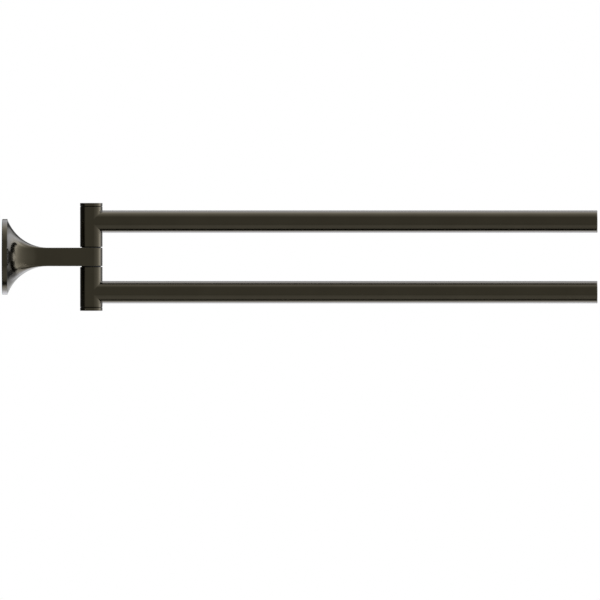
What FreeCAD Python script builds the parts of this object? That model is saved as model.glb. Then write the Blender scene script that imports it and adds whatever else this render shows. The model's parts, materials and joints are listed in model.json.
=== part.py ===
import FreeCAD, Part
import math
import os
import Sketcher

# Double towel bar for a wall, in millimetres.
# The origin is the centre of the flange on the wall, +X points out of the wall along the bars at rest
# and +Z is up. Two bars turn on their own about one upright pin at the arm's end. The lower half of the
# pivot is the upper half turned over about the X axis.

Vector = FreeCAD.Vector
document = FreeCAD.newDocument("double_towel_bar")

# Driving dimensions

DIMENSIONS = {
    # the two bars
    "bar_diameter": 16.0,
    "bar_wall": 1.0,
    "bar_reach": 425.5,
    "bar_spacing": 50.5,
    "bar_end_rounding": 0.5,
    "end_plug_length": 9.0,
    "plug_lead": 1.0,
    "plug_clearance": 0.05,
    # the joint between a bar and its knuckle
    "knuckle_step": 0.05,
    "joint_clearance": 0.02,
    "spigot_length": 14.0,
    "spigot_shoulder": 3.0,
    "spigot_setback": 0.3,
    # the arm, its flange and the flare between them
    "flange_diameter": 54.2,
    "rim_thickness": 3.8,
    "rim_edge": 0.3,
    "flare_reach": 33.0,
    "flare_sweep": 71.5,
    "rim_corner_angle": 38.0,
    "arm_height": 13.2,
    "arm_edge_rounding": 0.4,
    "pivot_reach": 63.7,
    # the wall plate in the flange's hollow
    "rim_wall": 4.0,
    "plate_clearance": 0.3,
    "plate_thickness": 3.0,
    "head_room": 0.6,
    "wall_screw_hole": 5.0,
    "wall_screw_head": 8.4,
    "countersink_angle": 90.0,
    "hub_wall": 4.74,
    "hub_clearance": 0.12,
    "hub_lip": 1.0,
    "hub_groove_depth": 1.2,
    # the screw that locks the arm on the hub
    "grub_diameter": 4.0,
    "grub_length": 6.0,
    "grub_key": 2.0,
    "grub_key_depth": 2.0,
    "grub_margin": 0.6,
    "grub_tip_gap": 0.2,
    "thread_clearance": 0.05,
    # the knuckles and their bushes
    "knuckle_wall": 2.0,
    "knuckle_web": 6.0,
    "knuckle_chamfer": 0.3,
    "knuckle_rim": 2.8,
    "bore_clearance": 0.3,
    "bush_collar": 0.75,
    "bush_wall": 0.95,
    "bush_recess": 0.3,
    "bush_flange_thickness": 1.0,
    "running_clearance": 0.05,
    # the pin and what is stacked on it
    "pin_chamfer": 0.4,
    "pin_press": 0.01,
    "pin_recess": 0.4,
    "pin_wall": 1.45,
    "pin_core": 5.7,
    "friction_washer_margin": 1.1,
    "friction_washer_thickness": 0.5,
    "washer_clearance": 0.2,
    "thrust_washer_thickness": 1.0,
    "disc_spring_margin": 0.75,
    "disc_spring_thickness": 0.5,
    "disc_spring_cone": 0.25,
    "screw_tip_room": 1.0,
    "screw_head_overhang": 1.75,
    "screw_head_height": 5.0,
    "screw_head_chamfer": 0.4,
    "screw_key_wall": 2.25,
    "screw_key_depth": 2.6,
    # the caps on the column's ends
    "cap_thickness": 2.5,
    "cap_rounding": 0.4,
    "cap_spigot_length": 6.0,
    "cap_spigot_clearance": 0.1,
    "o_ring_section": 1.5,
    "o_ring_clearance": 0.02,
    "o_ring_groove_width": 1.9,
}

sheet = document.addObject("Spreadsheet::Sheet", "Dims")
for row, (alias, value) in enumerate(DIMENSIONS.items(), start=1):
    sheet.set(f"A{row}", alias)
    sheet.set(f"B{row}", str(value))
    sheet.setAlias(f"B{row}", alias)
document.recompute()


def size(expression):
    """The number that an expression over the sheet's cells gives now."""
    return float(sheet.evalExpression(expression))


# Sizes along X, as expressions over the sheet

GRUB_RADIUS = "(Dims.grub_diameter / 2)"
GRUB_REACH = f"(Dims.rim_thickness + {GRUB_RADIUS} + Dims.grub_margin)"
HUB_LENGTH = f"({GRUB_REACH} + Dims.hub_groove_depth + Dims.hub_lip)"
HUB_POCKET = f"({HUB_LENGTH} + Dims.plate_clearance)"
PLATE_POCKET_DEPTH = "(Dims.plate_thickness + Dims.head_room)"
FLARE_LENGTH = "(Dims.flare_reach - Dims.rim_thickness)"
BAR_LENGTH = "(Dims.bar_reach - Dims.pivot_reach)"

# Radii, from the bar inward to the screw in the pin

BAR_RADIUS = "(Dims.bar_diameter / 2)"
BAR_BORE = f"({BAR_RADIUS} - Dims.bar_wall)"
PLUG_RADIUS = f"({BAR_BORE} - Dims.plug_clearance)"
STUB_RADIUS = f"({BAR_BORE} - Dims.spigot_shoulder)"
KNUCKLE_RADIUS = f"({BAR_RADIUS} + Dims.knuckle_step)"
KNUCKLE_BORE = f"({KNUCKLE_RADIUS} - Dims.knuckle_wall)"
COLLAR_RADIUS = f"({KNUCKLE_BORE} - Dims.bore_clearance)"
BUSH_RADIUS = f"({COLLAR_RADIUS} - Dims.bush_collar)"
BUSH_BORE = f"({BUSH_RADIUS} - Dims.bush_wall)"
PIN_RADIUS = f"({BUSH_BORE} - Dims.running_clearance)"
PIN_THREAD = f"({PIN_RADIUS} - Dims.pin_wall)"
SCREW_RADIUS = f"({PIN_THREAD} - Dims.thread_clearance)"
SCREW_HEAD = f"({SCREW_RADIUS} + Dims.screw_head_overhang)"
WASHER_BORE = f"({SCREW_RADIUS} + Dims.washer_clearance)"
SPRING_RADIUS = f"({COLLAR_RADIUS} - Dims.disc_spring_margin)"
FRICTION_RADIUS = f"({KNUCKLE_RADIUS} - Dims.friction_washer_margin)"
CAP_SPIGOT_RADIUS = f"({KNUCKLE_BORE} - Dims.cap_spigot_clearance)"
O_RING_INSIDE = f"({KNUCKLE_BORE} - Dims.o_ring_section - Dims.o_ring_clearance)"
O_RING_GROOVE = f"({O_RING_INSIDE} - Dims.o_ring_clearance)"
SPIGOT_SHOULDER = f"({KNUCKLE_RADIUS} + Dims.spigot_setback)"
SPIGOT_START = f"({KNUCKLE_BORE} + Dims.spigot_setback)"

# Heights above the arm's middle, up through the pivot

ARM_TOP = "(Dims.arm_height / 2)"
KNUCKLE_BASE = f"({ARM_TOP} + Dims.friction_washer_thickness)"
WEB_TOP = f"({KNUCKLE_BASE} + Dims.knuckle_web)"
BUSH_TOP = f"({WEB_TOP} + Dims.bush_flange_thickness)"
PIN_TOP = f"({BUSH_TOP} - Dims.pin_recess)"
THREAD_END = "(Dims.pin_core / 2)"
SCREW_TIP = f"({THREAD_END} + Dims.screw_tip_room)"
THRUST_TOP = f"({BUSH_TOP} + Dims.thrust_washer_thickness)"
SPRING_TOP = f"({THRUST_TOP} + Dims.disc_spring_cone + Dims.disc_spring_thickness)"
HEAD_TOP = f"({SPRING_TOP} + Dims.screw_head_height)"
BAR_AXIS = "(Dims.bar_spacing / 2)"
KNUCKLE_TOP = f"({BAR_AXIS} + {BAR_RADIUS} + Dims.knuckle_rim)"
CAP_TOP = f"({KNUCKLE_TOP} + Dims.cap_thickness)"
O_RING_LEVEL = f"({KNUCKLE_TOP} - Dims.cap_spigot_length / 2)"

# Radii at the wall: the hub keeps its wall to the flare's outside at the depth that it reaches

FLANGE_RADIUS = "(Dims.flange_diameter / 2)"
PLATE_POCKET = f"({FLANGE_RADIUS} - Dims.rim_wall)"
PLATE_RADIUS = f"({PLATE_POCKET} - Dims.plate_clearance)"
HUB_TURN = f"asin((Dims.flare_reach - {HUB_POCKET}) / {FLARE_LENGTH} * sin(Dims.flare_sweep))"
HUB_FLARE = f"({FLANGE_RADIUS} - {ARM_TOP}) * (1 - cos({HUB_TURN})) / (1 - cos(Dims.flare_sweep))"
HUB_RADIUS = f"({ARM_TOP} + {HUB_FLARE} - Dims.hub_wall)"
SCREW_CIRCLE = f"(({PLATE_RADIUS} + {HUB_RADIUS}) / 2)"
GRUB_TIP = f"({HUB_RADIUS} - Dims.hub_groove_depth + Dims.grub_tip_gap)"

# How near two places have to be to count as the same one
TOLERANCE = 1e-6

# The two halves of the pivot, with their turn about the X axis in degrees
SIDES = {"upper": 0, "lower": 180}
sub_parts = []


# Building blocks


def new_body(label):
    """A body that is a sub-part by itself."""
    body = document.addObject("PartDesign::Body", label)
    body.Label = label
    sub_parts.append(body)
    return body


def sketch_on(body, name, role, lift=None):
    """A sketch on one of the body's own origin planes, lifted along its normal if a lift is given."""
    sketch = body.newObject("Sketcher::SketchObject", name)
    plane = next(item for item in body.Origin.OriginFeatures if item.Role == role)
    sketch.AttachmentSupport = [(plane, "")]
    sketch.MapMode = "FlatFace"
    if lift:
        sketch.setExpression("AttachmentOffset.Base.z", lift)
    return sketch


def fix_point(sketch, geometry, end, x, y):
    """Tie a point of the sketch to two expressions, or to an axis where one is 0."""
    for kind, axis, expression in (("DistanceX", -2, x), ("DistanceY", -1, y)):
        if expression == "0":
            sketch.addConstraint(Sketcher.Constraint("PointOnObject", geometry, end, axis))
            continue
        index = sketch.addConstraint(Sketcher.Constraint(kind, geometry, end, size(expression)))
        sketch.setExpression(f"Constraints[{index}]", expression)


def draw_outline(sketch, corners):
    """A closed outline with straight sides through corners given as pairs of expressions."""
    points = [Vector(size(x), size(y), 0) for x, y in corners]
    count = len(points)
    for index in range(count):
        sketch.addGeometry(Part.LineSegment(points[index], points[(index + 1) % count]), False)
    for index, (x, y) in enumerate(corners):
        sketch.addConstraint(Sketcher.Constraint("Coincident", index, 2, (index + 1) % count, 1))
        fix_point(sketch, index, 1, x, y)


def draw_circle(sketch, x, y, radius):
    circle = Part.Circle(Vector(size(x), size(y), 0), Vector(0, 0, 1), size(radius))
    geometry = sketch.addGeometry(circle, False)
    if x == "0" and y == "0":
        sketch.addConstraint(Sketcher.Constraint("Coincident", geometry, 3, -1, 1))
    else:
        fix_point(sketch, geometry, 3, x, y)
    index = sketch.addConstraint(Sketcher.Constraint("Radius", geometry, size(radius)))
    sketch.setExpression(f"Constraints[{index}]", radius)


def turn(body, name, corners, axis="V_Axis"):
    """A turned solid: a half section in the XZ plane, turned about its upright or its level axis."""
    sketch = sketch_on(body, f"{name}_section", "XZ_Plane")
    draw_outline(sketch, corners)
    turned = body.newObject("PartDesign::Revolution", f"{name}_turned")
    turned.Profile = sketch
    turned.ReferenceAxis = (sketch, [axis])
    turned.Angle = 360
    document.recompute()
    return turned


def cut_pocket(body, name, sketch, length, reverse=False, both_ways=False):
    """A pocket that has to take material away."""
    before = body.Shape.Volume
    pocket = body.newObject("PartDesign::Pocket", name)
    pocket.Profile = sketch
    pocket.setExpression("Length", length)
    pocket.Reversed = reverse
    pocket.Midplane = both_ways
    document.recompute()
    if not body.Shape.Volume < before:
        raise RuntimeError(f"{name} cuts nothing")
    return pocket


def round_edges(body, name, base, radius, chosen):
    """Round the edges of the base that the test picks."""
    names = [f"Edge{number}" for number, edge in enumerate(base.Shape.Edges, start=1) if chosen(edge)]
    if not names:
        raise RuntimeError(f"{name} finds no edge")
    fillet = body.newObject("PartDesign::Fillet", name)
    fillet.Base = (base, names)
    fillet.setExpression("Radius", radius)
    document.recompute()
    return fillet


def cut_key(body, name, key, depth, lift, reverse=False):
    """A hexagon socket, given across its flats, sunk from the plane at the given height."""
    sketch = sketch_on(body, f"{name}_hexagon", "XY_Plane", lift)
    corner = f"({key} / sqrt(3))"
    angles = range(0, 360, 60)
    draw_outline(sketch, [key_corner(corner, angle) for angle in angles])
    return cut_pocket(body, name, sketch, depth, reverse)


def key_corner(radius, angle):
    x = f"{radius} * cos({angle} deg)"
    y = "0" if angle % 180 == 0 else f"{radius} * sin({angle} deg)"
    return x, y


def place_on_pivot(body, half_turn):
    """Stand a body on the pivot's axis, turned over about X for the lower half."""
    body.Placement = FreeCAD.Placement(Vector(0, 0, 0), FreeCAD.Rotation(Vector(1, 0, 0), half_turn))
    body.setExpression("Placement.Base.x", "Dims.pivot_reach")


def place_on_bar(body, half_turn):
    """Put a body on a bar's axis, with its zero where that axis crosses the pivot's."""
    place_on_pivot(body, half_turn)
    body.setExpression("Placement.Base.z", f"{BAR_AXIS} * {round(math.cos(math.radians(half_turn)))}")


def cylinder(name, radius, height, axis=Vector(0, 0, 1), x="0", z="0"):
    """A plain cylinder whose base centre is at x and z, pointing along an axis."""
    shape = document.addObject("Part::Cylinder", name)
    shape.setExpression("Radius", radius)
    shape.setExpression("Height", height)
    shape.Placement.Rotation = FreeCAD.Rotation(Vector(0, 0, 1), axis)
    shape.setExpression("Placement.Base.x", x)
    shape.setExpression("Placement.Base.z", z)
    return shape


# The arm

# the flare's sections, and how much of its turn a side makes itself: the corners make the rest
FLARE_STEPS = 9
SIDE_SHARE = 0.7


def rise(turned, across):
    """How far the flare's arc stands out after a turn in degrees, if it stands out by across at the rim."""
    sweep = size("Dims.flare_sweep")
    return across * (1 - math.cos(math.radians(turned))) / (1 - math.cos(math.radians(sweep)))


def side_turns(share, half_width, half_height):
    """Half the turn of a section's top and of its side, in radians.

    The corner between the two runs straight from the arm's corner to a point of the rim's circle, and
    each of them bulges from there to its crown. The share runs from 0 at the arm to 1 at the rim.
    """
    angle = math.radians(size("Dims.rim_corner_angle"))
    rim_radius = size(FLANGE_RADIUS)
    arm_width = size(KNUCKLE_RADIUS)
    arm_height = size(ARM_TOP)
    corner_out = arm_width + share * (rim_radius * math.cos(angle) - arm_width)
    corner_up = arm_height + share * (rim_radius * math.sin(angle) - arm_height)
    top_turn = 2 * math.atan((half_height - corner_up) / corner_out)
    side_turn = 2 * math.atan((half_width - corner_out) / corner_up)
    return SIDE_SHARE * top_turn, SIDE_SHARE * side_turn


def flare_section(x, half_width, half_height, corner, top_turn, side_turn):
    """A ring of four sides and four corners that is smooth all round, at a distance from the wall.

    The top and the side turn from their middles by the given angles, and each corner turns by the rest.
    """
    wide = half_width - corner * (math.cos(side_turn) - math.sin(top_turn))
    tall = half_height - corner * (math.cos(top_turn) - math.sin(side_turn))
    straight = top_turn == 0 and side_turn == 0
    if straight:
        top = (0, wide, 0, half_height)
        side = (0, tall, 0, half_width)
    else:
        top_rise, side_rise = 1 - math.cos(top_turn), 1 - math.cos(side_turn)
        scale = math.sin(top_turn) * math.sin(side_turn) - top_rise * side_rise
        top_radius = (wide * math.sin(side_turn) - tall * side_rise) / scale
        side_radius = (tall * math.sin(top_turn) - wide * top_rise) / scale
        top = (top_turn, top_radius * math.sin(top_turn), top_radius * top_rise, half_height)
        side = (side_turn, side_radius * math.sin(side_turn), side_radius * side_rise, half_width)
    edges = []
    for quarter in range(4):
        near, far = (top, side) if quarter % 2 == 0 else (side, top)
        turn_here, reach, bulge, crown = near
        turn_there, far_reach, far_bulge, far_crown = far
        middle = (turn_here + math.pi / 2 - turn_there) / 2
        bend = (
            reach + corner * (math.sin(middle) - math.sin(turn_here)),
            crown - bulge - corner * (math.cos(turn_here) - math.cos(middle)),
        )
        finish = (far_crown - far_bulge, far_reach)
        outline = ((-reach, crown - bulge), (0, crown), (reach, crown - bulge), bend, finish)
        points = [Vector(x, *quarter_turns(point, quarter)) for point in outline]
        if straight:
            edges.append(Part.LineSegment(points[0], points[2]).toShape())
        else:
            edges.append(Part.Arc(*points[0:3]).toShape())
        edges.append(Part.Arc(*points[2:5]).toShape())
    return Part.Wire(edges)


def quarter_turns(point, count):
    """A point of the YZ plane turned clockwise by quarter turns."""
    y, z = point
    for _ in range(count):
        y, z = z, -y
    return y, z


def flare_solid():
    """The flare, lofted from the arm's own section out to the rim's circle along even steps of an arc."""
    rim_radius = size(FLANGE_RADIUS)
    half_width = size(KNUCKLE_RADIUS)
    half_height = size(ARM_TOP)
    edge = size("Dims.arm_edge_rounding")
    length = size(FLARE_LENGTH)
    sweep = size("Dims.flare_sweep")
    sections = []
    for step in range(FLARE_STEPS + 1):
        turned = sweep * step / FLARE_STEPS
        run = length * math.sin(math.radians(turned)) / math.sin(math.radians(sweep))
        tall = half_height + rise(turned, rim_radius - half_height)
        wide = half_width + rise(turned, rim_radius - half_width)
        share = rise(turned, 1)
        corner = edge + (rim_radius - edge) * share
        x = size("Dims.flare_reach") - run
        sections.append(flare_section(x, wide, tall, corner, *side_turns(share, wide, tall)))
    return Part.makeLoft(sections, True, False)


def make_arm():
    flare = document.addObject("Part::Feature", "arm_flare")
    flare.Shape = flare_solid()

    rim = document.addObject("PartDesign::Body", "arm_rim")
    turn(rim, "rim", [
        ("0", "0"),
        ("0", f"{FLANGE_RADIUS} - Dims.rim_edge"),
        ("Dims.rim_edge", FLANGE_RADIUS),
        ("Dims.rim_thickness", FLANGE_RADIUS),
        ("Dims.rim_thickness", "0"),
    ], "H_Axis")

    bar = document.addObject("PartDesign::Body", "arm_straight")
    plan = sketch_on(bar, "arm_plan", "XY_Plane")
    draw_arm_plan(plan)
    pad = bar.newObject("PartDesign::Pad", "arm_pad")
    pad.Profile = plan
    pad.Midplane = True
    pad.setExpression("Length", "Dims.arm_height")
    document.recompute()
    round_edges(bar, "arm_rounding", pad, "Dims.arm_edge_rounding", is_long_arm_edge)

    blank = document.addObject("Part::MultiFuse", "arm_blank")
    blank.Shapes = [flare, rim, bar]
    blank.Refine = True

    outward = Vector(1, 0, 0)
    down = Vector(0, 0, -1)
    cuts = document.addObject("Part::MultiFuse", "arm_cuts")
    cuts.Shapes = [
        cylinder("plate_pocket", PLATE_POCKET, PLATE_POCKET_DEPTH, outward),
        cylinder("hub_pocket", f"{HUB_RADIUS} + Dims.hub_clearance", HUB_POCKET, outward),
        cylinder("grub_hole", f"{GRUB_RADIUS} + Dims.thread_clearance", FLANGE_RADIUS, down, GRUB_REACH),
        cylinder("pin_bore", f"{PIN_RADIUS} + Dims.pin_press", "Dims.arm_height", x="Dims.pivot_reach",
                 z=f"-{ARM_TOP}"),
    ]

    arm = document.addObject("Part::Cut", "arm")
    arm.Base = blank
    arm.Tool = cuts
    sub_parts.append(arm)


def draw_arm_plan(sketch):
    """The arm seen from above: two straight sides from the flare to the round eye."""
    half_width = size(KNUCKLE_RADIUS)
    start = size("Dims.flare_reach")
    eye = size("Dims.pivot_reach")
    sketch.addGeometry(Part.LineSegment(Vector(eye, half_width, 0), Vector(start, half_width, 0)), False)
    sketch.addGeometry(Part.LineSegment(Vector(start, half_width, 0), Vector(start, -half_width, 0)), False)
    sketch.addGeometry(Part.LineSegment(Vector(start, -half_width, 0), Vector(eye, -half_width, 0)), False)
    end = Part.Circle(Vector(eye, 0, 0), Vector(0, 0, 1), half_width)
    sketch.addGeometry(Part.ArcOfCircle(end, -math.pi / 2, math.pi / 2), False)
    sketch.addConstraint(Sketcher.Constraint("Coincident", 0, 2, 1, 1))
    sketch.addConstraint(Sketcher.Constraint("Coincident", 1, 2, 2, 1))
    sketch.addConstraint(Sketcher.Constraint("Tangent", 2, 2, 3, 1))
    sketch.addConstraint(Sketcher.Constraint("Tangent", 3, 2, 0, 1))
    sketch.addConstraint(Sketcher.Constraint("Vertical", 1))
    sketch.addConstraint(Sketcher.Constraint("Horizontal", 0))
    fix_point(sketch, 3, 3, "Dims.pivot_reach", "0")
    for kind, geometry, end, expression in (
        ("DistanceX", 1, 1, "Dims.flare_reach"),
        ("DistanceY", 1, 1, KNUCKLE_RADIUS),
    ):
        index = sketch.addConstraint(Sketcher.Constraint(kind, geometry, end, size(expression)))
        sketch.setExpression(f"Constraints[{index}]", expression)


def is_long_arm_edge(edge):
    """Does the edge run along the top or the underside, other than where the flare joins on?"""
    box = edge.BoundBox
    level = box.ZLength < TOLERANCE
    return level and box.XMax > size("Dims.flare_reach") + TOLERANCE


# The wall side


def make_wall_plate():
    body = new_body("wall_plate")
    groove = "Dims.hub_groove_depth"
    turn(body, "plate", [
        ("0", "0"),
        ("0", PLATE_RADIUS),
        ("Dims.plate_thickness", PLATE_RADIUS),
        ("Dims.plate_thickness", HUB_RADIUS),
        (f"{GRUB_REACH} - {groove}", HUB_RADIUS),
        (GRUB_REACH, f"{HUB_RADIUS} - {groove}"),
        (f"{GRUB_REACH} + {groove}", HUB_RADIUS),
        (HUB_LENGTH, HUB_RADIUS),
        (HUB_LENGTH, "0"),
    ], "H_Axis")
    places = sketch_on(body, "wall_screw_places", "YZ_Plane", "Dims.plate_thickness")
    for side in ("", "-"):
        draw_circle(places, "0", f"{side}{SCREW_CIRCLE}", "Dims.wall_screw_hole / 2")
    document.recompute()
    before = body.Shape.Volume
    hole = body.newObject("PartDesign::Hole", "wall_screw_holes")
    hole.Profile = places
    hole.ThreadType = "None"
    hole.DepthType = "ThroughAll"
    hole.HoleCutType = "Countersink"
    hole.HoleCutCustomValues = True
    hole.setExpression("Diameter", "Dims.wall_screw_hole")
    hole.setExpression("HoleCutDiameter", "Dims.wall_screw_head")
    hole.setExpression("HoleCutCountersinkAngle", "Dims.countersink_angle")
    document.recompute()
    if not body.Shape.Volume < before:
        raise RuntimeError("the wall screw holes cut nothing")


def make_grub_screw():
    """A screw with a right-angled point up and its socket down."""
    body = new_body("base_grub_screw")
    turn(body, "grub", [
        ("0", "0"),
        (GRUB_RADIUS, f"-{GRUB_RADIUS}"),
        (GRUB_RADIUS, "-Dims.grub_length"),
        ("0", "-Dims.grub_length"),
    ])
    cut_key(body, "grub_socket", "Dims.grub_key", "Dims.grub_key_depth", "-Dims.grub_length", reverse=True)
    body.setExpression("Placement.Base.x", GRUB_REACH)
    body.setExpression("Placement.Base.z", f"-{GRUB_TIP}")


# The pivot


def make_pivot_pin():
    body = new_body("pivot_pin")
    slim = f"{PIN_RADIUS} - Dims.pin_chamfer"
    below_edge = f"({PIN_TOP} - Dims.pin_chamfer)"
    turn(body, "pin", [
        ("0", THREAD_END),
        (PIN_THREAD, THREAD_END),
        (PIN_THREAD, PIN_TOP),
        (slim, PIN_TOP),
        (PIN_RADIUS, below_edge),
        (PIN_RADIUS, f"-{below_edge}"),
        (slim, f"-{PIN_TOP}"),
        (PIN_THREAD, f"-{PIN_TOP}"),
        (PIN_THREAD, f"-{THREAD_END}"),
        ("0", f"-{THREAD_END}"),
    ])
    place_on_pivot(body, 0)


def make_ring(label, half_turn, inside, outside, bottom, top):
    """A plain flat ring on the pivot's axis."""
    body = new_body(label)
    turn(body, label, [(inside, bottom), (outside, bottom), (outside, top), (inside, top)])
    place_on_pivot(body, half_turn)


def make_disc_spring(side, half_turn):
    """A shallow cone: its outer edge stands on the thrust washer, its inner edge carries the screw's head."""
    body = new_body(f"{side}_disc_spring")
    thickness = "Dims.disc_spring_thickness"
    turn(body, f"{side}_disc", [
        (SPRING_RADIUS, THRUST_TOP),
        (SPRING_RADIUS, f"{THRUST_TOP} + {thickness}"),
        (WASHER_BORE, SPRING_TOP),
        (WASHER_BORE, f"{SPRING_TOP} - {thickness}"),
    ])
    place_on_pivot(body, half_turn)


def make_retaining_screw(side, half_turn):
    body = new_body(f"{side}_retaining_screw")
    chamfer = "Dims.screw_head_chamfer"
    turn(body, f"{side}_screw", [
        ("0", SCREW_TIP),
        (SCREW_RADIUS, SCREW_TIP),
        (SCREW_RADIUS, SPRING_TOP),
        (SCREW_HEAD, SPRING_TOP),
        (SCREW_HEAD, f"{HEAD_TOP} - {chamfer}"),
        (f"{SCREW_HEAD} - {chamfer}", HEAD_TOP),
        ("0", HEAD_TOP),
    ])
    key = f"(2 * ({SCREW_HEAD} - Dims.screw_key_wall))"
    cut_key(body, f"{side}_screw_socket", key, "Dims.screw_key_depth", HEAD_TOP)
    place_on_pivot(body, half_turn)


def make_pivot_stack(side, half_turn):
    """What the arm holds of one half of the pivot, from the arm out to the screw."""
    pin_way = f"{PIN_RADIUS} + Dims.washer_clearance"
    make_ring(f"{side}_friction_washer", half_turn, pin_way, FRICTION_RADIUS, ARM_TOP, KNUCKLE_BASE)
    make_ring(f"{side}_thrust_washer", half_turn, WASHER_BORE, COLLAR_RADIUS, BUSH_TOP, THRUST_TOP)
    make_disc_spring(side, half_turn)
    make_retaining_screw(side, half_turn)


# What turns with a bar


def make_knuckle(side, half_turn):
    body = new_body(f"{side}_knuckle")
    chamfer = "Dims.knuckle_chamfer"
    web_hole = f"({BUSH_RADIUS} + Dims.joint_clearance)"
    turn(body, f"{side}_knuckle", [
        (web_hole, KNUCKLE_BASE),
        (f"{KNUCKLE_RADIUS} - {chamfer}", KNUCKLE_BASE),
        (KNUCKLE_RADIUS, f"{KNUCKLE_BASE} + {chamfer}"),
        (KNUCKLE_RADIUS, f"{KNUCKLE_TOP} - {chamfer}"),
        (f"{KNUCKLE_RADIUS} - {chamfer}", KNUCKLE_TOP),
        (KNUCKLE_BORE, KNUCKLE_TOP),
        (KNUCKLE_BORE, WEB_TOP),
        (web_hole, WEB_TOP),
    ])
    side_hole = sketch_on(body, f"{side}_side_hole_place", "YZ_Plane")
    draw_circle(side_hole, "0", BAR_AXIS, f"{STUB_RADIUS} + Dims.joint_clearance")
    cut_pocket(body, f"{side}_side_hole", side_hole, f"{KNUCKLE_RADIUS} * 2", reverse=True)
    place_on_pivot(body, half_turn)


def make_bush(side, half_turn):
    body = new_body(f"{side}_pivot_bush")
    foot = f"{KNUCKLE_BASE} + Dims.bush_recess"
    turn(body, f"{side}_bush", [
        (BUSH_BORE, foot),
        (BUSH_RADIUS, foot),
        (BUSH_RADIUS, WEB_TOP),
        (COLLAR_RADIUS, WEB_TOP),
        (COLLAR_RADIUS, BUSH_TOP),
        (BUSH_BORE, BUSH_TOP),
    ])
    place_on_pivot(body, half_turn)


def make_cap(side, half_turn):
    body = new_body(f"{side}_cap")
    chamfer = "Dims.knuckle_chamfer"
    foot = f"({KNUCKLE_TOP} - Dims.cap_spigot_length)"
    groove_bottom = f"{O_RING_LEVEL} - Dims.o_ring_groove_width / 2"
    groove_top = f"{O_RING_LEVEL} + Dims.o_ring_groove_width / 2"
    cap = turn(body, f"{side}_cap", [
        ("0", foot),
        (f"{CAP_SPIGOT_RADIUS} - {chamfer}", foot),
        (CAP_SPIGOT_RADIUS, f"{foot} + {chamfer}"),
        (CAP_SPIGOT_RADIUS, groove_bottom),
        (O_RING_GROOVE, groove_bottom),
        (O_RING_GROOVE, groove_top),
        (CAP_SPIGOT_RADIUS, groove_top),
        (CAP_SPIGOT_RADIUS, KNUCKLE_TOP),
        (f"{KNUCKLE_RADIUS} - {chamfer}", KNUCKLE_TOP),
        (KNUCKLE_RADIUS, f"{KNUCKLE_TOP} + {chamfer}"),
        (KNUCKLE_RADIUS, CAP_TOP),
        ("0", CAP_TOP),
    ])
    top = size(CAP_TOP)
    round_edges(body, f"{side}_cap_rounding", cap, "Dims.cap_rounding",
                lambda edge: edge.BoundBox.ZMin > top - TOLERANCE)
    place_on_pivot(body, half_turn)


def make_o_ring(side, half_turn):
    ring = document.addObject("Part::Torus", f"{side}_cap_o_ring")
    ring.setExpression("Radius1", f"{O_RING_INSIDE} + Dims.o_ring_section / 2")
    ring.setExpression("Radius2", "Dims.o_ring_section / 2")
    direction = round(math.cos(math.radians(half_turn)))
    ring.setExpression("Placement.Base.x", "Dims.pivot_reach")
    ring.setExpression("Placement.Base.z", f"{O_RING_LEVEL} * {direction}")
    sub_parts.append(ring)


def make_bar(side, half_turn):
    """A tube whose near end is coped to the knuckle and whose far end is rounded."""
    body = new_body(f"{side}_bar")
    ring = sketch_on(body, f"{side}_bar_ring", "YZ_Plane")
    draw_circle(ring, "0", "0", BAR_RADIUS)
    draw_circle(ring, "0", "0", BAR_BORE)
    tube = body.newObject("PartDesign::Pad", f"{side}_bar_tube")
    tube.Profile = ring
    tube.setExpression("Length", BAR_LENGTH)
    document.recompute()
    saddle = sketch_on(body, f"{side}_bar_saddle", "XY_Plane")
    draw_circle(saddle, "0", "0", f"{KNUCKLE_RADIUS} + Dims.joint_clearance")
    cope = cut_pocket(body, f"{side}_bar_cope", saddle, "Dims.bar_diameter * 2", both_ways=True)
    end = size(BAR_LENGTH)
    radius = size(BAR_RADIUS)
    round_edges(body, f"{side}_bar_end", cope, "Dims.bar_end_rounding",
                lambda edge: edge.BoundBox.XMin > end - TOLERANCE and edge.BoundBox.YMax > radius - TOLERANCE)
    place_on_bar(body, half_turn)


def make_spigot(side, half_turn):
    """A turned plug in the tube's near end, with a stub into the knuckle's side hole."""
    body = new_body(f"{side}_bar_spigot")
    end = f"({SPIGOT_SHOULDER} + Dims.spigot_length)"
    turn(body, f"{side}_spigot", [
        (SPIGOT_START, "0"),
        (SPIGOT_START, STUB_RADIUS),
        (SPIGOT_SHOULDER, STUB_RADIUS),
        (SPIGOT_SHOULDER, PLUG_RADIUS),
        (end, PLUG_RADIUS),
        (end, "0"),
    ], "H_Axis")
    place_on_bar(body, half_turn)


def make_end_plug(side, half_turn):
    body = new_body(f"{side}_bar_end_plug")
    start = f"({BAR_LENGTH} - Dims.end_plug_length)"
    turn(body, f"{side}_plug", [
        (start, "0"),
        (start, f"{PLUG_RADIUS} - Dims.plug_lead"),
        (f"{start} + Dims.plug_lead", PLUG_RADIUS),
        (BAR_LENGTH, PLUG_RADIUS),
        (BAR_LENGTH, "0"),
    ], "H_Axis")
    place_on_bar(body, half_turn)


def make_swivel_bar(side, half_turn):
    for make in (make_knuckle, make_bush, make_cap, make_o_ring, make_bar, make_spigot, make_end_plug):
        make(side, half_turn)


def check_document():
    for item in document.Objects:
        if "Invalid" in item.State or "Error" in item.State:
            raise RuntimeError(f"{item.Label} did not compute: {item.State}")
    for part in sub_parts:
        if part.Shape.isNull() or not part.Shape.isValid():
            raise RuntimeError(f"{part.Label} has no valid shape")
        if len(part.Shape.Solids) != 1:
            raise RuntimeError(f"{part.Label} is {len(part.Shape.Solids)} solids")


make_wall_plate()
make_arm()
make_grub_screw()
make_pivot_pin()
for side_name, turned_over in SIDES.items():
    make_pivot_stack(side_name, turned_over)
    make_swivel_bar(side_name, turned_over)
document.recompute()
check_document()

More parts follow.
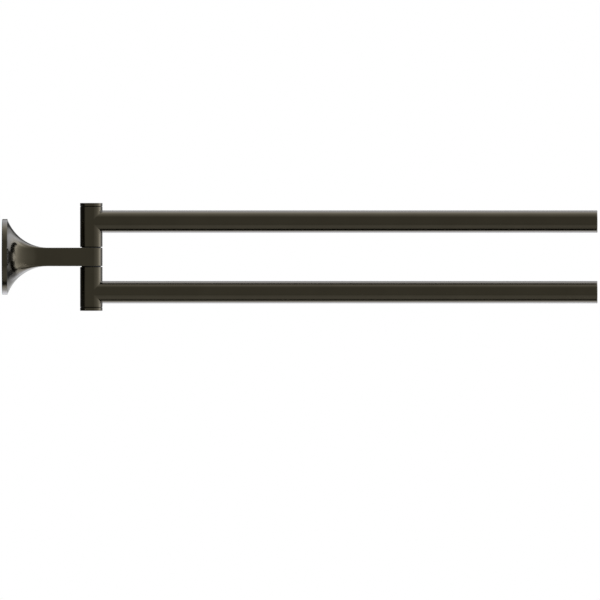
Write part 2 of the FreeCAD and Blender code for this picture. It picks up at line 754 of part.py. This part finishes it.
os.makedirs("parts", exist_ok=True)
for part in sub_parts:
    part.Shape.exportStep(f"parts/{part.Label}.step")
print(len(sub_parts), "sub-parts written")
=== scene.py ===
import json
import math

import bpy
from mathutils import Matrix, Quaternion, Vector


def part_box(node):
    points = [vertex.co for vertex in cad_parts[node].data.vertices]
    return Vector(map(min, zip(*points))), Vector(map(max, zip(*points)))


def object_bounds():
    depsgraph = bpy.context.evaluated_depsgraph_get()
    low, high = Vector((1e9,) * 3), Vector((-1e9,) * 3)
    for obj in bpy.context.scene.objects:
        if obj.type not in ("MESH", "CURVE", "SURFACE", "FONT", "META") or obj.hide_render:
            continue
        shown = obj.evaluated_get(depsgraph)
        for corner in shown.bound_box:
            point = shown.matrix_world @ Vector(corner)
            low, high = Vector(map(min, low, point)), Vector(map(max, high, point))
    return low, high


# Double towel bar: its finishes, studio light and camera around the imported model, in metres.

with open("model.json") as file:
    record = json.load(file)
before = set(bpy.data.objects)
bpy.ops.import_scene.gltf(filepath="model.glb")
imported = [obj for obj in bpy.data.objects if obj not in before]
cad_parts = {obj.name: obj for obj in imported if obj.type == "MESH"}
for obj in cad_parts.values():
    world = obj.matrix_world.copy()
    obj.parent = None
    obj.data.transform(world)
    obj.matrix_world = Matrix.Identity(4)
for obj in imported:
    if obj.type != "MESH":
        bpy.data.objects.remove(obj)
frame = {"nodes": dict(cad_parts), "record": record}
cad_low, cad_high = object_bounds()

# The photograph's frame: a square seen along +Y from far away, and where the wall and the arm lie in it

PHOTO_SIZE_PX = 600
METRES_PER_PX = 0.7149e-3
WALL_PX = 2.18
ARM_AXIS_PX = 256.93
LENS_MM = 1200
SENSOR_MM = 36

# The studio: the middle of the object, which the cards face, and the light and floor around it

TARGET = (cad_low + cad_high) / 2
AMBIENT = 0.9
FLOOR_LEVEL = -0.9
FLOOR_RADIUS = 2.6
FLOOR_SIDES = 96
FLOOR_PAINT = (0.8, 0.8, 0.79)
LAMP_COLOUR = (0.96, 0.98, 1.1)
SOFTBOX_FLAT_PART = 0.7

# The finishes: how fine a tool's lines, a mould's grain and a tone's clouds are, and how they show

LINES_PER_METRE = 3000
LINE_CHANGES_PER_METRE = 40
LINE_DETAIL = 3
LINE_RELIEF = 0.15
PLASTIC_GRAIN_PER_METRE = 6000
RUBBER_GRAIN_PER_METRE = 9000
GRAIN_DETAIL = 2
GRAIN_RELIEF = 0.3
CLOUDS_PER_METRE = 60
CLOUD_DETAIL = 2
RELIEF_DEPTH = 0.02e-3
GLOSS_NOISE = (0.3, 0.7)
MOULDED_SPECULAR = 0.2

# Pieces whose lines don't run round an upright axis: drawn or brushed along X, or turned about a level axis

LENGTHWISE = ("arm", "upper_bar", "lower_bar")
LEVEL_AXIS = ("bar_spigot", "bar_end_plug", "wall_plate")


# Camera


def make_camera():
    """A long lens at the height of the picture's middle."""
    half = PHOTO_SIZE_PX / 2
    width = PHOTO_SIZE_PX * METRES_PER_PX
    data = bpy.data.cameras.new("camera")
    data.sensor_width = SENSOR_MM
    data.lens = LENS_MM
    camera = bpy.data.objects.new("camera", data)
    across = (half - WALL_PX) * METRES_PER_PX
    up = (ARM_AXIS_PX - half) * METRES_PER_PX
    camera.location = (across, -width * LENS_MM / SENSOR_MM, up)
    camera.rotation_euler = (math.pi / 2, 0, 0)
    bpy.context.scene.collection.objects.link(camera)
    bpy.context.scene.camera = camera


# Shader nodes


class Nodes:
    """The nodes of one material or world, added and joined in few words."""

    def __init__(self, owner):
        owner.use_nodes = True
        self.tree = owner.node_tree
        self.tree.nodes.clear()

    def add(self, kind, settings=None, **inputs):
        """A node with its settings; an input is a value or the socket that feeds it."""
        node = self.tree.nodes.new(f"ShaderNode{kind}")
        for key, value in (settings or {}).items():
            setattr(node, key, value)
        for key, value in inputs.items():
            self.feed(node.inputs[key.replace("_", " ")], value)
        return node

    def feed(self, socket, value):
        if isinstance(value, bpy.types.NodeSocket):
            self.tree.links.new(value, socket)
        else:
            socket.default_value = value

    def math(self, operation, first, second=0.0):
        node = self.add("Math", {"operation": operation})
        self.feed(node.inputs[0], first)
        self.feed(node.inputs[1], second)
        return node.outputs[0]

    def vector(self, operation, first, second=None, output="Vector"):
        node = self.add("VectorMath", {"operation": operation})
        self.feed(node.inputs[0], first)
        if second is not None:
            self.feed(node.inputs[1], second)
        return node.outputs[output]

    def ramp(self, value, start, end, low, high, smooth=False):
        """A value that goes from low to high as another goes from start to end."""
        kind = "SMOOTHSTEP" if smooth else "LINEAR"
        node = self.add("MapRange", {"interpolation_type": kind}, Value=value, From_Min=start, From_Max=end,
                        To_Min=low, To_Max=high)
        return node.outputs["Result"]

    def blend(self, factor, first, second):
        """A colour between two."""
        node = self.add("Mix", {"data_type": "RGBA"})
        self.feed(node.inputs["Factor"], factor)
        self.feed(node.inputs["A"], (*first, 1))
        self.feed(node.inputs["B"], (*second, 1))
        return node.outputs["Result"]

    def noise(self, place, scale, detail):
        return self.add("TexNoise", Vector=place, Scale=scale, Detail=detail).outputs["Fac"]

    def place(self):
        return self.add("TexCoord").outputs["Object"]

    def finish(self, surface, kind="Material"):
        self.add(f"Output{kind}", Surface=surface)


# Studio


def link_object(name, mesh):
    obj = bpy.data.objects.new(name, mesh)
    bpy.context.scene.collection.objects.link(obj)
    return obj


def make_world():
    """A white room to the eye and in reflections, and a softer light on matt surfaces."""
    world = bpy.data.worlds.new("studio")
    bpy.context.scene.world = world
    nodes = Nodes(world)
    path = nodes.add("LightPath").outputs
    seen = nodes.math("MAXIMUM", path["Is Camera Ray"], path["Is Glossy Ray"])
    seen = nodes.math("MAXIMUM", seen, path["Is Transmission Ray"])
    strength = nodes.ramp(seen, 0, 1, AMBIENT, 1)
    nodes.finish(nodes.add("Background", Color=(1, 1, 1, 1), Strength=strength).outputs[0], "World")


def make_floor():
    """A pale disc well below the object, which fades into the room at its rim."""
    mesh = bpy.data.meshes.new("floor")
    turns = [2 * math.pi * side / FLOOR_SIDES for side in range(FLOOR_SIDES)]
    rim = [(FLOOR_RADIUS * math.cos(turn), FLOOR_RADIUS * math.sin(turn), 0) for turn in turns]
    mesh.from_pydata(rim, [], [tuple(range(FLOOR_SIDES))])
    floor = link_object("floor", mesh)
    floor.location = (TARGET.x, TARGET.y, FLOOR_LEVEL)
    material = bpy.data.materials.new("floor")
    nodes = Nodes(material)
    reach = nodes.vector("LENGTH", nodes.place(), output="Value")
    fade = nodes.ramp(reach, FLOOR_RADIUS / 2, FLOOR_RADIUS, 0, 1, smooth=True)
    paint = nodes.add("BsdfDiffuse", Color=(*FLOOR_PAINT, 1)).outputs[0]
    mix = nodes.add("MixShader")
    nodes.feed(mix.inputs[0], fade)
    nodes.feed(mix.inputs[1], paint)
    nodes.feed(mix.inputs[2], nodes.add("BsdfTransparent").outputs[0])
    nodes.finish(mix.outputs[0])
    mesh.materials.append(material)


def make_card(name, azimuth, elevation, distance, half_size, slant=0):
    """A card that faces the object in a direction given in degrees, and shows in reflections only.

    Azimuth 0 is towards the photograph's camera and 90 is away from the wall. The card's width is level,
    or rises by the slant towards larger azimuths.
    """
    half_width, half_height = half_size
    mesh = bpy.data.meshes.new(name)
    corners = [(-half_width, -half_height, 0), (half_width, -half_height, 0),
               (half_width, half_height, 0), (-half_width, half_height, 0)]
    mesh.from_pydata(corners, [], [(0, 1, 2, 3)])
    mesh.materials.append(bpy.data.materials.new(name))
    card = link_object(name, mesh)
    around, up = math.radians(azimuth), math.radians(elevation)
    outward = Vector((math.sin(around) * math.cos(up), -math.cos(around) * math.cos(up), math.sin(up)))
    card.location = TARGET + outward * distance
    card.rotation_mode = "QUATERNION"
    tilt = Quaternion((0, 0, 1), math.radians(slant))
    card.rotation_quaternion = outward.to_track_quat("Z", "Y") @ tilt
    card.visible_camera = False
    card.visible_diffuse = False
    card.visible_shadow = False
    return card


def soft_edges(nodes, place, half_size, flat_part):
    """A value that is 1 in a card's middle and falls smoothly to 0 at its sides."""
    parts = nodes.add("SeparateXYZ", Vector=place).outputs
    edges = [nodes.ramp(nodes.math("ABSOLUTE", parts[axis]), half, half * flat_part, 0, 1, smooth=True)
             for axis, half in enumerate(half_size)]
    return nodes.math("MULTIPLY", *edges)


def make_softbox(name, azimuth, elevation, distance, half_size, lamp, spread, radiance):
    """A lamp behind a sheet: it glows most at the lamp, fades as the spread says, and adds to the room."""
    card = make_card(name, azimuth, elevation, distance, half_size)
    nodes = Nodes(card.data.materials[0])
    place = nodes.place()
    from_lamp = nodes.vector("SUBTRACT", place, (*lamp, 0))
    shares = nodes.vector("DIVIDE", from_lamp, (*spread, 1))
    reach = nodes.vector("LENGTH", shares, output="Value")
    falloff = nodes.math("ADD", nodes.math("POWER", reach, 2), 1)
    glow = nodes.math("DIVIDE", soft_edges(nodes, place, half_size, SOFTBOX_FLAT_PART), falloff)
    strength = nodes.math("MULTIPLY", glow, radiance)
    light = nodes.add("Emission", Color=(*LAMP_COLOUR, 1), Strength=strength).outputs[0]
    both = nodes.add("AddShader")
    nodes.feed(both.inputs[0], light)
    nodes.feed(both.inputs[1], nodes.add("BsdfTransparent").outputs[0])
    nodes.finish(both.outputs[0])


def make_flag(name, azimuth, elevation, distance, half_size, flat_part, shade, slant=0):
    """A dark gauze with soft sides that takes light out of reflections."""
    card = make_card(name, azimuth, elevation, distance, half_size, slant)
    nodes = Nodes(card.data.materials[0])
    edge = soft_edges(nodes, nodes.place(), half_size, flat_part)
    gauze = nodes.add("BsdfTransparent", Color=nodes.ramp(edge, 0, 1, 1, shade))
    nodes.finish(gauze.outputs[0])


def make_studio():
    """The room and its floor, softboxes for the bright bands in the metal, and flags for the dark ones."""
    make_world()
    make_floor()
    make_softbox("softbox_top", azimuth=180, elevation=80, distance=1.25, half_size=(1.6, 1.6),
                 lamp=(0, -0.176), spread=(1.5, 0.55), radiance=3.9)
    make_softbox("softbox_right", azimuth=72, elevation=0, distance=1.4, half_size=(1.79, 2.3),
                 lamp=(0.74, 0.35), spread=(0.5, 1.6), radiance=6.6)
    make_softbox("softbox_back", azimuth=123, elevation=27, distance=1.3, half_size=(0.75, 0.6),
                 lamp=(0, 0), spread=(0.4, 0.42), radiance=4.5)
    make_softbox("softbox_below", azimuth=180, elevation=-55, distance=0.8, half_size=(1.2, 0.6),
                 lamp=(0, -0.07), spread=(1.2, 0.34), radiance=4.6)
    make_softbox("softbox_right_below", azimuth=80, elevation=-42, distance=0.85, half_size=(0.55, 0.42),
                 lamp=(0, 0), spread=(0.5, 0.35), radiance=2.4)
    make_softbox("softbox_front", azimuth=0, elevation=-53, distance=0.8, half_size=(1.0, 0.42),
                 lamp=(0, 0), spread=(1.0, 0.36), radiance=0.82)
    make_flag("flag_left", azimuth=-113, elevation=0, distance=1.0, half_size=(1.19, 1.2),
              flat_part=0.5, shade=0.12)
    make_flag("flag_below", azimuth=0, elevation=-86, distance=0.6, half_size=(1.0, 0.09),
              flat_part=0.4, shade=0.2)
    make_flag("flag_back_top", azimuth=180, elevation=14.5, distance=2.5, half_size=(1.15, 0.52),
              flat_part=0.6, shade=0.14)
    make_flag("flag_back_right", azimuth=163, elevation=2, distance=2.5, half_size=(0.53, 0.5),
              flat_part=0.6, shade=0.4)
    make_flag("flag_right_below", azimuth=141, elevation=-15, distance=0.85, half_size=(0.6, 0.125),
              flat_part=0.2, shade=0.12, slant=31)
    make_flag("flag_right_back", azimuth=150.5, elevation=4, distance=0.86, half_size=(0.11, 0.14),
              flat_part=0.2, shade=0.2)
    make_flag("flag_low_right", azimuth=130.5, elevation=-32, distance=0.65, half_size=(0.36, 0.19),
              flat_part=0.3, shade=0.36)
    make_flag("flag_wall_below", azimuth=246, elevation=-40, distance=0.65, half_size=(0.32, 0.32),
              flat_part=0.5, shade=0.25)


# Finishes


def tool_lines(nodes, node):
    """Fine lines that a tool leaves: along X on a drawn or brushed piece, round a turned piece's axis."""
    place = nodes.place()
    if node in LENGTHWISE:
        stretch = (LINE_CHANGES_PER_METRE, LINES_PER_METRE, LINES_PER_METRE)
        along = nodes.add("Mapping", Vector=place, Scale=stretch)
        return nodes.noise(along.outputs[0], scale=1, detail=LINE_DETAIL)
    low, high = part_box(node)
    middle = (Vector(low) + Vector(high)) / 2
    axis = Vector((1, 0, 0)) if node.endswith(LEVEL_AXIS) else Vector((0, 0, 1))
    from_middle = nodes.vector("SUBTRACT", place, middle)
    along = nodes.vector("DOT_PRODUCT", from_middle, axis, output="Value")
    across = nodes.vector("MULTIPLY", from_middle, Vector((1, 1, 1)) - axis)
    radius = nodes.vector("LENGTH", across, output="Value")
    rings = nodes.add("CombineXYZ", X=radius, Y=along).outputs[0]
    return nodes.noise(rings, scale=LINES_PER_METRE, detail=LINE_DETAIL)


def add_surface(nodes, texture, relief, tones, roughness, **more):
    """A surface whose tone drifts in slow clouds, and whose gloss and relief follow a fine texture."""
    clouds = nodes.noise(nodes.place(), scale=CLOUDS_PER_METRE, detail=CLOUD_DETAIL)
    tone = nodes.blend(clouds, *tones)
    gloss = nodes.ramp(texture, *GLOSS_NOISE, *roughness)
    bump = nodes.add("Bump", Strength=relief, Distance=RELIEF_DEPTH, Height=texture).outputs["Normal"]
    shader = nodes.add("BsdfPrincipled", Base_Color=tone, Roughness=gloss, Normal=bump, **more)
    nodes.finish(shader.outputs[0])


def make_metal(node, slot, tones, roughness):
    """Metal with the lines of the tool that finished it."""
    material = bpy.data.materials.new(f"{slot}_{node}")
    nodes = Nodes(material)
    lines = tool_lines(nodes, node)
    add_surface(nodes, lines, LINE_RELIEF, tones, roughness, Metallic=1.0)
    return material


def make_moulded(node, slot, tones, roughness, grain_per_metre):
    """Moulded plastic or rubber with a fine grain."""
    material = bpy.data.materials.new(f"{slot}_{node}")
    nodes = Nodes(material)
    grain = nodes.noise(nodes.place(), scale=grain_per_metre, detail=GRAIN_DETAIL)
    add_surface(nodes, grain, GRAIN_RELIEF, tones, roughness, Specular_IOR_Level=MOULDED_SPECULAR)
    return material


def make_dark_coating(node, slot):
    tones = (0.0285, 0.0250, 0.0168), (0.0345, 0.0305, 0.0205)
    return make_metal(node, slot, tones, roughness=(0.1, 0.16))


def make_bare_brass(node, slot):
    tones = (0.68, 0.51, 0.24), (0.75, 0.58, 0.29)
    return make_metal(node, slot, tones, roughness=(0.2, 0.34))


def make_zinc(node, slot):
    tones = (0.48, 0.51, 0.55), (0.55, 0.54, 0.51)
    return make_metal(node, slot, tones, roughness=(0.3, 0.46))


def make_steel(node, slot):
    tones = (0.52, 0.52, 0.53), (0.59, 0.59, 0.60)
    return make_metal(node, slot, tones, roughness=(0.2, 0.34))


def make_acetal_with_painted_gap_shade(node, slot):
    # Black acetal, set darker than its own colour so that the washers in the gaps between the knuckles
    # carry painted shade.
    tones = (0.01, 0.01, 0.011), (0.014, 0.014, 0.015)
    return make_moulded(node, slot, tones, (0.5, 0.6), PLASTIC_GRAIN_PER_METRE)


def make_seal_rubber(node, slot):
    tones = (0.016, 0.016, 0.016), (0.024, 0.024, 0.024)
    return make_moulded(node, slot, tones, (0.62, 0.75), RUBBER_GRAIN_PER_METRE)


FINISHES = {
    "dark_coating": make_dark_coating,
    "bare_brass": make_bare_brass,
    "zinc": make_zinc,
    "steel": make_steel,
    "acetal": make_acetal_with_painted_gap_shade,
    "seal_rubber": make_seal_rubber,
}


def dress_nodes():
    """Gives each node a material of its own, in its slot's finish."""
    for part in frame["record"]["subparts"]:
        node, slot = part["node"], part["material_slot"]
        frame["nodes"][node].data.materials[0] = FINISHES[slot](node, slot)


make_camera()
make_studio()
dress_nodes()
bpy.context.scene.view_settings.view_transform = "Standard"
